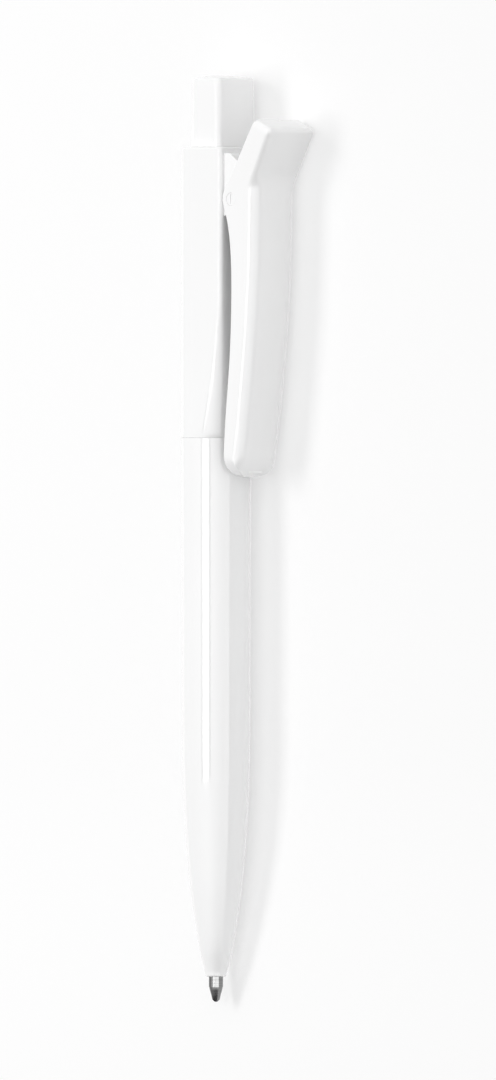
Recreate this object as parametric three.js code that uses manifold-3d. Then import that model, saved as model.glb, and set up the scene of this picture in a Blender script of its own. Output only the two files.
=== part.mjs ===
// A white plastic ballpoint pen with a push button and a sprung lever clip.
// It lies along X: ball at -X, button at +X, clip towards -Y, resting on the flat side of its upper barrel.
// Sizes are in millimetres. "along" runs from the front of the ball to the button, "reach" runs from the
// pen's axis towards the clip, and "side" runs across, upwards. The tip is out, as for writing.

import * as THREE from 'three';
import { mergeVertices } from 'three/addons/utils/BufferGeometryUtils.js';
import Module from 'manifold-3d';

const wasm = await Module();
wasm.setup();

// Barrel, outside
const tipShow = 4.0; // metal tip that stands out of the nose
const noseLength = 35.3; // curved nose, up to the grip
const gripLength = 49.0; // nearly straight, up to the seam
const upperLength = 45.4; // upper barrel, seam to rim
const noseRadius = 1.68; // at the very end of the nose
const shoulderRadius = 5.3; // where the nose meets the grip
const barrelRadius = 5.48; // at the seam, and half the width of the upper barrel
const flatReach = 5.6; // axis to the flat face under the clip
const blendLength = 21.6; // flat face fades into the round seam over this length
const barrelCorner = 0.4; // rounded long edges of the flat face
const rimRound = 0.3; // rounding of the rim and of the nose's end
const seamRound = 0.12; // rounding on both sides of the seam
const noseCurve = [[0.115, 0.25], [0.272, 0.492], [0.428, 0.691], [0.626, 0.851], [0.805, 0.945]];

// Fits shared by several pieces
const seatGap = 0.1; // between two fixed pieces that seat on each other
const slideGap = 0.2; // around a piece that slides
const pressGap = 0.05; // around a piece that is pushed in tight
const endGap = 0.3; // between moving pieces that push on each other end to end

// Refill and its tip
const ballRadius = 0.5;
const socketGap = 0.04; // around the ball
const lipAlong = 0.3; // front of the rolled lip that keeps the ball in
const tipRadius = 1.12;
const tipConeEnd = 2.35; // cone up to the fine step
const tipStep = 0.06; // height of that step
const tipLength = 13.8; // metal cylinder's back end
const shankRadius = 0.75; // stepped-down back of the metal tip
const shankLength = 3.7;
const inkBore = 0.3; // ink duct through the tip
const tubeRadius = 1.5;
const tubeBore = 1.0;
const holderRadius = 1.3; // plastic holder, inside the spring
const flangeRadius = 2.1; // the spring pushes on this flange
const flangeAlong = 28.0;
const flangeLength = 1.4;
const spigotLength = 3.5; // holder's spigot inside the ink tube
const refillLength = 107.0; // ball to the plug's back end
const plugHead = 2.0;
const plugDepth = 5.0;
const inkAir = 8.0; // empty tube between the ink and the plug

// Front chamber and return spring
const shoulderAlong = 12.5; // ledge inside the nose that the spring stands on
const chamberRadius = 2.35;
const chamberEnd = 31.5;
const chamberFlare = 1.8;
const returnWire = 0.4;
const returnRadius = 1.85; // mean radius of the coils
const returnTurns = 11;

// Screw joint between the barrels
const boreRadius = 3.3; // long bore of the lower barrel
const socketRadius = 4.3; // bore of the upper barrel
const spigotEnd = 6.7; // spigot's length above the seam
const threadDepth = 0.22;
const threadPitch = 1.1;
const threadCount = 3;

// Click mechanism
const pressTravel = 5.5; // tip out to tip in
const overPress = 1.2; // extra push that lets the cam turn
const finCount = 4;
const grooveRadius = 3.35; // inside of the cam sleeve, between its ribs
const ribRadius = 2.75; // inside of the ribs
const ribDegrees = 40;
const finRadius = 3.2;
const finDegrees = 28;
const hubRadius = 2.5;
const hubLength = 6.3;
const finLength = 3.9;
const cupDepth = 2.8; // the refill's back end sits in this cup
const toothHeight = 0.7;
const spindleRadius = 1.2;
const spindleLength = 3.0;
const thrustRadius = 2.45;
const thrustBore = 1.5;
const nibLength = 2.0;
const thrustSink = 3.0; // rim to the thrust tube's back end
const sleeveSetback = 1.6; // screw joint to the sleeve's front
const lipLength = 1.5; // inner lip at the back of the sleeve

// Button
const buttonShow = 11.3; // stands above the rim with the tip out
const buttonHalf = 4.5;
const buttonFront = 4.3; // axis to its flat face on the clip's side
const buttonBack = 3.78; // axis to its round back
const buttonCorner = 0.4;
const buttonDraft = 0.14; // narrower at the top than at the rim, on each side
const buttonCrown = 0.3;
const buttonEdge = 0.35;
const buttonWall = 1.0;
const skirtGap = 0.7; // skirt to the sleeve when the button is pushed all the way
const bossWall = 0.75;
const bossSetback = 0.4; // skirt's end to the boss's end

// Hinge bracket of the clip, one piece with the upper barrel
const pivotDrop = 8.2; // rim to the pin
const pivotHeight = 2.46; // flat face to the pin
const bracketHalf = 3.7;
const bracketDrop = 1.0; // rim to the bracket's end
const bracketStep = 1.35; // height of its end before the chamfer
const bracketHeight = 4.2;
const bracketFront = 13.0; // rim to the bracket's front foot
const bracketSlope = 2.6; // length of its front slope

// Clip
const pinRadius = 1.0;
const pinGap = 0.06;
const slotWidth = 0.3;
const slotLength = 1.5;
const slotDepth = 0.25;
const clipFillet = 2.1; // between the clip's front and its sides
const clipEdge = 0.3; // rounding of the open edges
const clipWall = 1.3; // front wall
const cheekWall = 1.05; // side walls
const clipEndWall = 1.5;
const clipLength = 43.45; // pin to the lower end
const clipEndCrown = 0.6; // the lower end bulges by this much
const clipEndRound = 2.2;
const leverEndRound = 0.7;
const padHalf = 1.5; // rib inside the lower end that rests on the barrel
const padLength = 2.4;
const padGap = 0.3;
const notchWidth = 0.65;
const notchDepth = 0.35;

// Side view of the clip from the pin: outer [along, height over the flat face], inner the same, half width
const clipStations = [
  [-40.6, 4.1, -40.6, 0.55, 4.45],
  [-34.4, 5.0, -34.4, 0.95, 4.58],
  [-26.5, 6.0, -26.5, 1.82, 4.66],
  [-20.3, 6.6, -20.3, 2.3, 4.7],
  [-14.0, 6.95, -14.0, 2.55, 4.74],
  [-9.4, 7.12, -9.4, 2.55, 4.77],
  [-6.0, 7.25, -6.0, 2.3, 4.81],
  [-3.4, 7.38, -3.4, 1.8, 4.86],
  [-1.5, 7.5, -1.4, 1.22, 4.91],
  [0.0, 7.62, 0.1, 0.65, 4.95],
  [1.5, 7.78, 1.0, 1.24, 5.0],
  [3.4, 8.2, 4.0, 3.0, 5.05],
  [5.3, 9.05, 6.6, 4.5, 5.06],
  [10.8, 12.1, 12.4, 7.85, 5.1],
];

// Clip spring
const clipWire = 0.35;
const clipSpringRadius = 1.12;
const clipSpringTurns = 5;
const clipSpringBehind = 3.4; // pin to the spring's middle
const pocketRadius = 1.6;
const pocketFloor = 1.0; // over the flat face
const pegReach = 6.0; // over the flat face, the seat on the clip that the spring pushes

// Places worked out from the sizes
const noseEnd = tipShow;
const seam = noseEnd + noseLength + gripLength;
const rim = seam + upperLength;
const buttonTop = rim + buttonShow;
const pivotAlong = rim - pivotDrop;
const pivotReach = flatReach + pivotHeight;
const rotorAlong = refillLength + endGap - cupDepth;
const rotorBack = rotorAlong + hubLength;
const thrustAlong = rotorBack + endGap;
const finBack = rotorBack - endGap;
const ribAlong = finBack + endGap;
const nibAlong = thrustAlong + toothHeight;
const lipAlongSleeve = nibAlong + nibLength + pressTravel + endGap;
const sleeveBack = lipAlongSleeve + lipLength;
const sleeveFront = seam + spigotEnd + sleeveSetback;
const thrustBack = rim - thrustSink;
const skirtAlong = sleeveBack + overPress + skirtGap;
const bossFront = skirtAlong + bossSetback;

// Longer than any cut has to be
const cutReach = 40;

// Smoothness
const roundSteps = 36;
const boreSteps = 24;
const cornerSteps = 4;
const backSteps = 18;
const noseSteps = 14;
const clipSteps = 28;
const channelSteps = 16;
const weld = 1e-4;

const white = { color: 0xf4f4f4, roughness: 0.22, metalness: 0 };
const offWhite = { color: 0xe6e6e2, roughness: 0.45, metalness: 0 };
const clearPlastic = { color: 0xdfe3e4, roughness: 0.25, metalness: 0 };
const ink = { color: 0x14203c, roughness: 0.4, metalness: 0 };
const nickel = { color: 0xb9b9b7, roughness: 0.22, metalness: 1 };
const steel = { color: 0x9a9a9a, roughness: 0.3, metalness: 1 };

const place = (along, reach, side) => new THREE.Vector3(along, -reach, side);

// Solids

function volumeOf(geometry) {
  const position = geometry.getAttribute('position');
  const corner = [new THREE.Vector3(), new THREE.Vector3(), new THREE.Vector3()];
  let volume = 0;
  for (let i = 0; i < geometry.index.count; i += 3) {
    corner.forEach((point, k) => point.fromBufferAttribute(position, geometry.index.getX(i + k)));
    volume += corner[0].dot(corner[1].cross(corner[2])) / 6;
  }
  return volume;
}

// Shared corners are joined, slivers left out and faces turned outwards
function closed(source) {
  const bare = new THREE.BufferGeometry();
  bare.setAttribute('position', source.getAttribute('position').clone());
  if (source.index) bare.setIndex(source.index.clone());
  const merged = mergeVertices(bare, weld);
  const faces = [];
  for (let i = 0; i < merged.index.count; i += 3) {
    const [a, b, c] = [0, 1, 2].map((k) => merged.index.getX(i + k));
    if (a !== b && b !== c && c !== a) faces.push([a, b, c]);
  }
  merged.setIndex(faces.flat());
  if (volumeOf(merged) < 0) merged.setIndex(faces.flatMap(([a, b, c]) => [a, c, b]));
  return merged;
}

function solid(source) {
  const mesh = closed(source);
  return new wasm.Manifold(new wasm.Mesh({
    numProp: 3,
    vertProperties: new Float32Array(mesh.getAttribute('position').array),
    triVerts: new Uint32Array(mesh.index.array),
  }));
}

function geometryOf(shape) {
  const { vertProperties, triVerts } = shape.getMesh();
  const geometry = new THREE.BufferGeometry();
  geometry.setAttribute('position', new THREE.BufferAttribute(new Float32Array(vertProperties), 3));
  geometry.setIndex(Array.from(triVerts));
  return geometry;
}

function piece(name, geometry, look) {
  const shape = closed(geometry);
  shape.computeVertexNormals();
  const mesh = new THREE.Mesh(shape, new THREE.MeshStandardMaterial({ ...look, flatShading: true }));
  mesh.name = name;
  return mesh;
}

// A turned shape about the pen's axis, from [along, radius] pairs
function turned(profile, steps = boreSteps) {
  const points = profile.map(([along, radius]) => new THREE.Vector2(radius, along));
  return new THREE.LatheGeometry(points, steps).rotateZ(-Math.PI / 2);
}

const rod = (from, to, radius, steps) => turned([[from, 0], [from, radius], [to, radius], [to, 0]], steps);

const tube = (from, to, outer, inner, steps) =>
  turned([[from, inner], [from, outer], [to, outer], [to, inner], [from, inner]], steps);

// A skin over rings of points, closed at both ends
function loft(rings) {
  const count = rings[0].length;
  const middles = [rings[0], rings.at(-1)].map((ring) =>
    ring.reduce((sum, point) => sum.add(point), new THREE.Vector3()).divideScalar(count));
  const points = [...rings.flat(), ...middles];
  const last = (rings.length - 1) * count;
  const faces = [];
  for (let i = 0; i < count; i += 1) {
    const next = (i + 1) % count;
    for (let ring = 0; ring < last; ring += count) {
      faces.push(ring + i, ring + next, ring + count + next);
      faces.push(ring + i, ring + count + next, ring + count + i);
    }
    faces.push(last + count, next, i);
    faces.push(last + count + 1, last + i, last + next);
  }
  return new THREE.BufferGeometry().setFromPoints(points).setIndex(faces);
}

// A side outline of [along, reach] pairs, as thick as twice the half width
function across(outline, half) {
  const shape = new THREE.Shape(outline.map(([along, reach]) => new THREE.Vector2(along, -reach)));
  return new THREE.ExtrudeGeometry(shape, { depth: 2 * half, bevelEnabled: false }).translate(0, 0, -half);
}

const crossRod = (along, reach, radius, length, steps = 24) =>
  new THREE.CylinderGeometry(radius, radius, length, steps).rotateX(Math.PI / 2).translate(along, -reach, 0);

function uprightRod(along, fromReach, toReach, radius, steps = 24) {
  const length = toReach - fromReach;
  return new THREE.CylinderGeometry(radius, radius, length, steps)
    .translate(along, -fromReach - length / 2, 0);
}

// A wound spring along a direction, with the least gap between its turns
function coil(name, { start, direction, length, turns, radius, wire }) {
  const stepsPerTurn = 8;
  const sides = 5;
  const axis = direction.clone().normalize();
  const outward = new THREE.Vector3(0, 0, 1);
  const sideways = axis.clone().cross(outward);
  const pitch = (length - wire) / turns;
  const centres = [];
  const rings = [];
  for (let step = 0; step <= turns * stepsPerTurn; step += 1) {
    const angle = (step / stepsPerTurn) * 2 * Math.PI;
    const radial = outward.clone().multiplyScalar(Math.cos(angle)).addScaledVector(sideways, Math.sin(angle));
    const climb = wire / 2 + (pitch * step) / stepsPerTurn;
    const centre = start.clone().addScaledVector(axis, climb).addScaledVector(radial, radius);
    centres.push(centre);
    rings.push(Array.from({ length: sides }, (_, side) => {
      const turn = (side / sides) * 2 * Math.PI;
      return centre.clone()
        .addScaledVector(radial, (wire / 2) * Math.cos(turn))
        .addScaledVector(axis, (wire / 2) * Math.sin(turn));
    }));
  }
  const gaps = centres.flatMap((centre, i) =>
    centres.slice(i + stepsPerTurn / 2).map((other) => centre.distanceTo(other) - wire));
  console.log(`${name}: least gap between turns ${Math.min(...gaps).toFixed(2)} mm`);
  return piece(name, loft(rings), steel);
}

// Barrels

function noseProfile() {
  const growth = shoulderRadius - noseRadius;
  const points = [[0, 0], ...noseCurve, [1, 1]].map(([share, rise]) =>
    new THREE.Vector2(noseEnd + rimRound + share * (noseLength - rimRound), noseRadius + rise * growth));
  return new THREE.SplineCurve(points).getPoints(noseSteps).map(({ x, y }) => [x, y]);
}

function thread() {
  const crest = socketRadius - seatGap;
  const first = seam + spigotEnd - threadPitch * (threadCount + 0.5);
  return Array.from({ length: threadCount }, (_, i) => first + i * threadPitch).flatMap((along) => [
    [along, crest - threadDepth],
    [along + threadPitch * 0.35, crest],
    [along + threadPitch * 0.65, crest],
    [along + threadPitch, crest - threadDepth],
  ]);
}

function lowerBarrel() {
  const seat = seam - seatGap / 2;
  const root = socketRadius - seatGap - threadDepth;
  const hole = tipRadius + slideGap;
  const outer = [
    [noseEnd, noseRadius - rimRound],
    [noseEnd + rimRound * 0.3, noseRadius - rimRound * 0.3],
    ...noseProfile(),
    [seat - seamRound, barrelRadius],
    [seat, barrelRadius - seamRound],
    [seat, root],
  ];
  const inner = [
    [seam + spigotEnd, root],
    [seam + spigotEnd, boreRadius],
    [chamberEnd + chamberFlare, boreRadius],
    [chamberEnd, chamberRadius],
    [shoulderAlong, chamberRadius],
    [shoulderAlong, hole],
    [noseEnd, hole],
    [noseEnd, noseRadius - rimRound],
  ];
  return piece('lower_barrel', turned([...outer, ...thread(), ...inner], roundSteps), white);
}

// One arch-shaped section: a round back, flat sides and a flat front with rounded corners
function archRing(along, { half, backCentre, front, corner }, inset = 0) {
  const width = half - inset;
  const round = Math.max(corner - inset, corner / 4);
  const cornerAt = (sign, i) => {
    const angle = (i / cornerSteps) * (Math.PI / 2);
    return place(
      along,
      front - inset - round + round * Math.cos(angle),
      sign * (width - round + round * Math.sin(angle)),
    );
  };
  const counts = Array.from({ length: cornerSteps + 1 }, (_, i) => i);
  const back = Array.from({ length: backSteps + 1 }, (_, i) => {
    const angle = Math.PI * (0.5 + i / backSteps);
    return place(along, backCentre + width * Math.cos(angle), width * Math.sin(angle));
  });
  return [...counts.map((i) => cornerAt(1, i)), ...back, ...counts.reverse().map((i) => cornerAt(-1, i))];
}

// The flat front fades into the round seam
function upperSection(along) {
  const share = Math.min(Math.max((seam + blendLength - along) / blendLength, 0), 1);
  return {
    half: barrelRadius,
    backCentre: 0,
    front: flatReach + (barrelRadius - flatReach) * share,
    corner: barrelCorner + (barrelRadius - barrelCorner) * share ** 1.5,
  };
}

function upperOuter() {
  const start = seam + seatGap / 2;
  const blendSteps = 10;
  const rings = [archRing(start, upperSection(seam), seamRound)];
  for (let i = 0; i <= blendSteps; i += 1) {
    const along = start + seamRound + ((blendLength - seamRound) * i) / blendSteps;
    rings.push(archRing(along, upperSection(along)));
  }
  rings.push(archRing(rim - rimRound, upperSection(rim)));
  rings.push(archRing(rim - rimRound * 0.3, upperSection(rim), rimRound * 0.3));
  rings.push(archRing(rim, upperSection(rim), rimRound));
  return loft(rings);
}

const buttonSection = {
  half: buttonHalf,
  backCentre: buttonHalf - buttonBack,
  front: buttonFront,
  corner: buttonCorner,
};

function upperBarrel() {
  const guideStep = 0.5;
  const footSink = 1.0;
  const guide = loft([
    archRing(sleeveBack + seatGap - guideStep, buttonSection, -slideGap),
    archRing(rim + guideStep, buttonSection, -slideGap),
  ]);
  const end = rim - bracketDrop;
  const top = flatReach + bracketHeight;
  const foot = rim - bracketFront;
  const bracket = across([
    [foot, flatReach - footSink],
    [foot, flatReach],
    [foot + bracketSlope, top],
    [end - (bracketHeight - bracketStep), top],
    [end, flatReach + bracketStep],
    [end, flatReach - footSink],
  ], bracketHalf);
  const spring = pivotAlong + clipSpringBehind;
  const shape = solid(upperOuter())
    .add(solid(bracket))
    .subtract(solid(rod(seam - 1, sleeveBack + seatGap, socketRadius, roundSteps)))
    .subtract(solid(guide))
    .subtract(solid(crossRod(pivotAlong, pivotReach, pinRadius + pressGap, 4 * bracketHalf)))
    .subtract(solid(uprightRod(spring, flatReach + pocketFloor, top + 1, pocketRadius)));
  return piece('upper_barrel', geometryOf(shape), white);
}

// Refill

function writingBall() {
  return piece('writing_ball', new THREE.SphereGeometry(ballRadius, 20, 12).translate(ballRadius, 0, 0), steel);
}

function refillTip() {
  const seat = ballRadius + socketGap;
  const lipInner = ballRadius - socketGap / 4;
  const outer = [
    [lipAlong, lipInner],
    [lipAlong, lipInner + 0.05],
    [ballRadius, seat + 0.08],
    [1.08, 0.74],
    [1.9, 0.98],
    [tipConeEnd, tipRadius - tipStep],
    [tipConeEnd, tipRadius],
    [tipLength, tipRadius],
    [tipLength, shankRadius],
    [tipLength + shankLength, shankRadius],
  ];
  const inner = [
    [tipLength + shankLength, inkBore],
    [ballRadius + seat, inkBore],
    [ballRadius + seat * Math.SQRT1_2, seat * Math.SQRT1_2 + socketGap],
    [ballRadius, seat],
    [lipAlong, lipInner],
  ];
  return piece('refill_tip', turned([...outer, ...inner]), nickel);
}

function tipHolder() {
  const front = tipLength + seatGap;
  const back = flangeAlong + flangeLength;
  const outer = [
    [front, shankRadius + pressGap],
    [front, holderRadius],
    [flangeAlong, holderRadius],
    [flangeAlong, flangeRadius],
    [back, flangeRadius],
    [back, tubeBore - pressGap],
    [back + spigotLength, tubeBore - pressGap],
  ];
  const inner = [
    [back + spigotLength, inkBore],
    [tipLength + shankLength + seatGap, inkBore],
    [tipLength + shankLength + seatGap, shankRadius + pressGap],
    [front, shankRadius + pressGap],
  ];
  return piece('tip_holder', turned([...outer, ...inner]), offWhite);
}

const tubeFront = flangeAlong + flangeLength + seatGap;
const plugSeat = refillLength - plugHead;

function refillTube() {
  return piece('refill_tube', tube(tubeFront, plugSeat - seatGap, tubeRadius, tubeBore), clearPlastic);
}

function inkColumn() {
  const front = flangeAlong + flangeLength + spigotLength + seatGap;
  return piece('ink_column', rod(front, plugSeat - plugDepth - inkAir, tubeBore - pressGap, 20), ink);
}

function refillPlug() {
  const vent = 0.3;
  const profile = [
    [plugSeat - plugDepth, vent],
    [plugSeat - plugDepth, tubeBore - pressGap],
    [plugSeat, tubeBore - pressGap],
    [plugSeat, tubeRadius],
    [refillLength, tubeRadius],
    [refillLength, vent],
    [plugSeat - plugDepth, vent],
  ];
  return piece('refill_plug', turned(profile, 20), offWhite);
}

function returnSpring() {
  return coil('return_spring', {
    start: place(shoulderAlong + pressGap, 0, 0),
    direction: new THREE.Vector3(1, 0, 0),
    length: flangeAlong - shoulderAlong - 2 * pressGap,
    turns: returnTurns,
    radius: returnRadius,
    wire: returnWire,
  });
}

// Click mechanism

// A tube whose ends may be toothed: each end's place depends on the angle
function toothedTube(fromAt, toAt, outer, inner, steps = 32) {
  const rings = Array.from({ length: steps }, (_, i) => {
    const angle = (i / steps) * 2 * Math.PI;
    const at = (along, radius) => place(along, radius * Math.cos(angle), radius * Math.sin(angle));
    return [
      at(fromAt(angle), inner),
      at(fromAt(angle), outer),
      at(toAt(angle), outer),
      at(toAt(angle), inner),
    ];
  });
  const faces = [];
  for (let i = 0; i < steps; i += 1) {
    const here = i * 4;
    const next = ((i + 1) % steps) * 4;
    for (let k = 0; k < 4; k += 1) {
      const l = (k + 1) % 4;
      faces.push(here + k, here + l, next + l, here + k, next + l, next + k);
    }
  }
  return new THREE.BufferGeometry().setFromPoints(rings.flat()).setIndex(faces);
}

// Height of the zigzag crown at an angle, with two teeth for each fin
function crown(angle) {
  const share = ((angle / (2 * Math.PI)) * finCount * 2) % 1;
  return toothHeight * (1 - Math.abs(2 * share - 1));
}

// A block between two radii and two places, centred on an angle
function sector(from, to, inner, outer, degrees, middle) {
  const half = THREE.MathUtils.degToRad(degrees / 2);
  const arcSteps = 4;
  const arc = (radius, sign) => Array.from({ length: arcSteps + 1 }, (_, i) => {
    const angle = middle + sign * half * ((2 * i) / arcSteps - 1);
    return [radius * Math.cos(angle), radius * Math.sin(angle)];
  });
  const outline = [...arc(outer, 1), ...arc(inner, -1)];
  return loft([from, to].map((along) => outline.map(([reach, side]) => place(along, reach, side))));
}

const around = (count, make, offset = 0) =>
  Array.from({ length: count }, (_, i) => make(offset + (i / count) * 2 * Math.PI));

function camSleeve() {
  const outer = socketRadius - seatGap;
  const sink = 0.3;
  const shell = turned([
    [sleeveFront, grooveRadius],
    [sleeveFront, outer],
    [sleeveBack, outer],
    [sleeveBack, ribRadius],
    [lipAlongSleeve, ribRadius],
    [lipAlongSleeve, grooveRadius],
    [sleeveFront, grooveRadius],
  ], roundSteps);
  const rib = (angle) =>
    solid(sector(ribAlong, lipAlongSleeve + sink, ribRadius, grooveRadius + sink, ribDegrees, angle));
  const ribs = around(finCount, rib, Math.PI / finCount);
  return piece('cam_sleeve', geometryOf(ribs.reduce((shape, one) => shape.add(one), solid(shell))), offWhite);
}

function rotorCam() {
  const sink = 0.3;
  const cup = tubeRadius + slideGap;
  const hub = toothedTube(() => rotorAlong, (angle) => rotorBack - toothHeight + crown(angle), hubRadius, cup);
  const web = turned([
    [rotorAlong + cupDepth, 0],
    [rotorAlong + cupDepth, cup + sink],
    [rotorBack - toothHeight - sink, cup + sink],
    [rotorBack - toothHeight - sink, spindleRadius],
    [rotorBack + spindleLength, spindleRadius],
    [rotorBack + spindleLength, 0],
  ]);
  const fin = (angle) =>
    solid(sector(finBack - finLength, finBack, hubRadius - sink, finRadius, finDegrees, angle));
  const shape = around(finCount, fin).reduce((sum, one) => sum.add(one), solid(hub).add(solid(web)));
  return piece('rotor_cam', geometryOf(shape), offWhite);
}

function thrustTube() {
  const sink = 0.3;
  const stem = toothedTube((angle) => thrustAlong + crown(angle), () => bossFront, thrustRadius, thrustBore);
  const head = rod(bossFront - sink, thrustBack, thrustRadius, 32);
  const nib = (angle) =>
    solid(sector(nibAlong, nibAlong + nibLength, thrustRadius - sink, finRadius, finDegrees, angle));
  const shape = around(finCount, nib).reduce((sum, one) => sum.add(one), solid(stem).add(solid(head)));
  return piece('thrust_tube', geometryOf(shape), offWhite);
}

// Rings of the button, wide at the skirt and a little narrower at its crowned top
function pushButton() {
  const shoulder = buttonTop - buttonCrown;
  const domeSteps = 3;
  const rings = [archRing(skirtAlong, buttonSection), archRing(rim, buttonSection)];
  for (let i = 0; i <= 3; i += 1) {
    const angle = (i / 3) * (Math.PI / 2);
    rings.push(archRing(
      shoulder - buttonEdge * (1 - Math.sin(angle)),
      buttonSection,
      buttonDraft + buttonEdge * (1 - Math.cos(angle)),
    ));
  }
  const edge = buttonDraft + buttonEdge;
  const reach = buttonHalf - edge - 0.6;
  for (let i = 1; i <= domeSteps; i += 1) {
    const share = i / domeSteps;
    rings.push(archRing(
      shoulder + buttonCrown * (1 - (1 - share) ** 2),
      { ...buttonSection, front: buttonFront - share * (buttonFront - buttonHalf) },
      edge + reach * share,
    ));
  }
  const roof = shoulder - buttonEdge - buttonWall;
  const pocket = loft([
    archRing(skirtAlong - 1, buttonSection, buttonWall),
    archRing(roof, buttonSection, buttonWall + buttonDraft),
  ]);
  const shape = solid(loft(rings))
    .subtract(solid(pocket))
    .add(solid(rod(bossFront, roof + buttonWall / 2, thrustRadius + bossWall)))
    .subtract(solid(rod(bossFront - 1, thrustBack + endGap, thrustRadius + pressGap)));
  return piece('push_button', geometryOf(shape), white);
}

// Clip

// Side outline of the clip as smooth curves through its stations
function clipStation(share, grow = 0) {
  const curve = (a, b) =>
    new THREE.SplineCurve(clipStations.map((row) => new THREE.Vector2(row[a], row[b]))).getPoint(share);
  const outer = curve(0, 1);
  const inner = curve(2, 3);
  const half = curve(0, 4).y;
  return {
    outer: new THREE.Vector2(pivotAlong + outer.x, flatReach + outer.y + grow),
    inner: new THREE.Vector2(pivotAlong + inner.x, flatReach + inner.y),
    half,
  };
}

// One cross-section of the clip, between an outer and an inner point of its side view
function clipRing({ outer, inner, half }, fillet, edge) {
  const depth = outer.distanceTo(inner);
  const down = inner.clone().sub(outer).normalize();
  const at = (side, deep) => place(outer.x + down.x * deep, outer.y + down.y * deep, side);
  const filletSteps = 4;
  const edgeSteps = 2;
  const right = [];
  for (let i = 0; i <= filletSteps; i += 1) {
    const angle = (i / filletSteps) * (Math.PI / 2);
    right.push([half - fillet * (1 - Math.sin(angle)), fillet * (1 - Math.cos(angle))]);
  }
  for (let i = 0; i <= edgeSteps; i += 1) {
    const angle = (i / edgeSteps) * (Math.PI / 2);
    right.push([half - edge * (1 - Math.cos(angle)), depth - edge * (1 - Math.sin(angle))]);
  }
  const left = right.map(([side, deep]) => [-side, deep]).reverse();
  return [...right, ...left].map(([side, deep]) => at(side, deep));
}

// Moves both ends of a section along the clip
function shifted(station, outerShift, innerShift) {
  return {
    outer: station.outer.clone().add(outerShift),
    inner: station.inner.clone().add(innerShift),
    half: station.half,
  };
}

function clipOuter() {
  const first = clipStation(0);
  const second = clipStation(0.01);
  const reachPast = clipLength + clipStations[0][0] + 1;
  const run = (a, b) => b.clone().sub(a).normalize();
  const lowOut = run(second.outer, first.outer).multiplyScalar(reachPast);
  const lowIn = run(second.inner, first.inner).multiplyScalar(reachPast);
  const rings = [clipRing(shifted(first, lowOut, lowIn), clipFillet, clipEdge)];
  for (let i = 0; i < clipSteps; i += 1) rings.push(clipRing(clipStation(i / clipSteps), clipFillet, clipEdge));
  const end = clipStation(1);
  const lever = run(clipStation(0.96).outer, end.outer);
  for (let i = 0; i <= 3; i += 1) {
    const angle = (i / 3) * (Math.PI / 2);
    const back = lever.clone().multiplyScalar(-leverEndRound * (1 - Math.sin(angle)));
    const inset = leverEndRound * (1 - Math.cos(angle));
    const down = run(end.outer, end.inner).multiplyScalar(inset);
    const ring = shifted(end, back.clone().add(down), back.clone().sub(down));
    ring.half = end.half - inset;
    rings.push(clipRing(ring, clipFillet - inset, clipEdge));
  }
  return loft(rings);
}

// Plan view of the lower end: rounded corners and a slightly bulging end
function clipPlan() {
  const half = clipStations[0][4] + 1;
  const low = pivotAlong - clipLength;
  const corner = low + clipEndCrown;
  const width = clipStations[0][4] - 0.04;
  const far = pivotAlong + 20;
  const shape = new THREE.Shape();
  shape.moveTo(far, half);
  shape.lineTo(corner + clipEndRound + 1, half);
  shape.lineTo(corner + clipEndRound, width);
  shape.quadraticCurveTo(corner, width, corner - clipEndCrown * 0.25, width - clipEndRound);
  shape.quadraticCurveTo(low, 0.4 * width, low, 0);
  shape.quadraticCurveTo(low, -0.4 * width, corner - clipEndCrown * 0.25, clipEndRound - width);
  shape.quadraticCurveTo(corner, -width, corner + clipEndRound, -width);
  shape.lineTo(corner + clipEndRound + 1, -half);
  shape.lineTo(far, -half);
  return new THREE.ExtrudeGeometry(shape, { depth: cutReach, bevelEnabled: false, curveSegments: 6 })
    .rotateX(Math.PI / 2);
}

// The hollow inside the clip, open towards the barrel
function clipChannel() {
  const rings = [];
  const past = 3;
  const endShare = 0.955;
  for (let i = 0; i <= channelSteps; i += 1) {
    const station = clipStation((endShare * i) / channelSteps);
    const down = station.inner.clone().sub(station.outer).normalize();
    const start = i === 0 ? new THREE.Vector2(clipEndWall - clipLength - clipStations[0][0], 0) : new THREE.Vector2();
    rings.push(clipRing({
      outer: station.outer.clone().addScaledVector(down, clipWall).add(start),
      inner: station.inner.clone().addScaledVector(down, past).add(start),
      half: station.half - cheekWall,
    }, clipFillet - cheekWall, 0.05));
  }
  return loft(rings);
}

function clipNotch() {
  const end = clipStation(1);
  const half = notchWidth / 2;
  return new THREE.BoxGeometry(2 * notchDepth, 2 * notchDepth, notchWidth)
    .rotateZ(-Math.PI / 4)
    .translate(end.inner.x + notchDepth / 4, -end.inner.y - half / 2, 0);
}

function clipArm() {
  const low = pivotAlong - clipLength;
  const padTop = clipStation(0).outer.y - clipWall;
  const pad = new THREE.BoxGeometry(padLength, padTop - barrelRadius - padGap, 2 * padHalf)
    .translate(low + clipEndWall / 2 + padLength / 2, -(padTop + barrelRadius + padGap) / 2, 0);
  const spring = pivotAlong + clipSpringBehind;
  const peg = uprightRod(spring, flatReach + pegReach, flatReach + clipStations[10][1] - clipWall / 2, pocketRadius);
  const shape = solid(clipOuter())
    .intersect(solid(clipPlan()))
    .subtract(solid(clipChannel()))
    .add(solid(pad))
    .add(solid(peg))
    .subtract(solid(crossRod(pivotAlong, pivotReach, pinRadius + pinGap, cutReach)))
    .subtract(solid(clipNotch()));
  return piece('clip', geometryOf(shape), white);
}

function clipPin() {
  const half = clipStations[9][4] - pressGap;
  const slot = (sign) => new THREE.BoxGeometry(slotLength, slotWidth, slotDepth)
    .translate(pivotAlong, -pivotReach, sign * (half - slotDepth / 2));
  const shape = solid(crossRod(pivotAlong, pivotReach, pinRadius, 2 * half))
    .subtract(solid(slot(1)))
    .subtract(solid(slot(-1)));
  return piece('clip_pin', geometryOf(shape), white);
}

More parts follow.
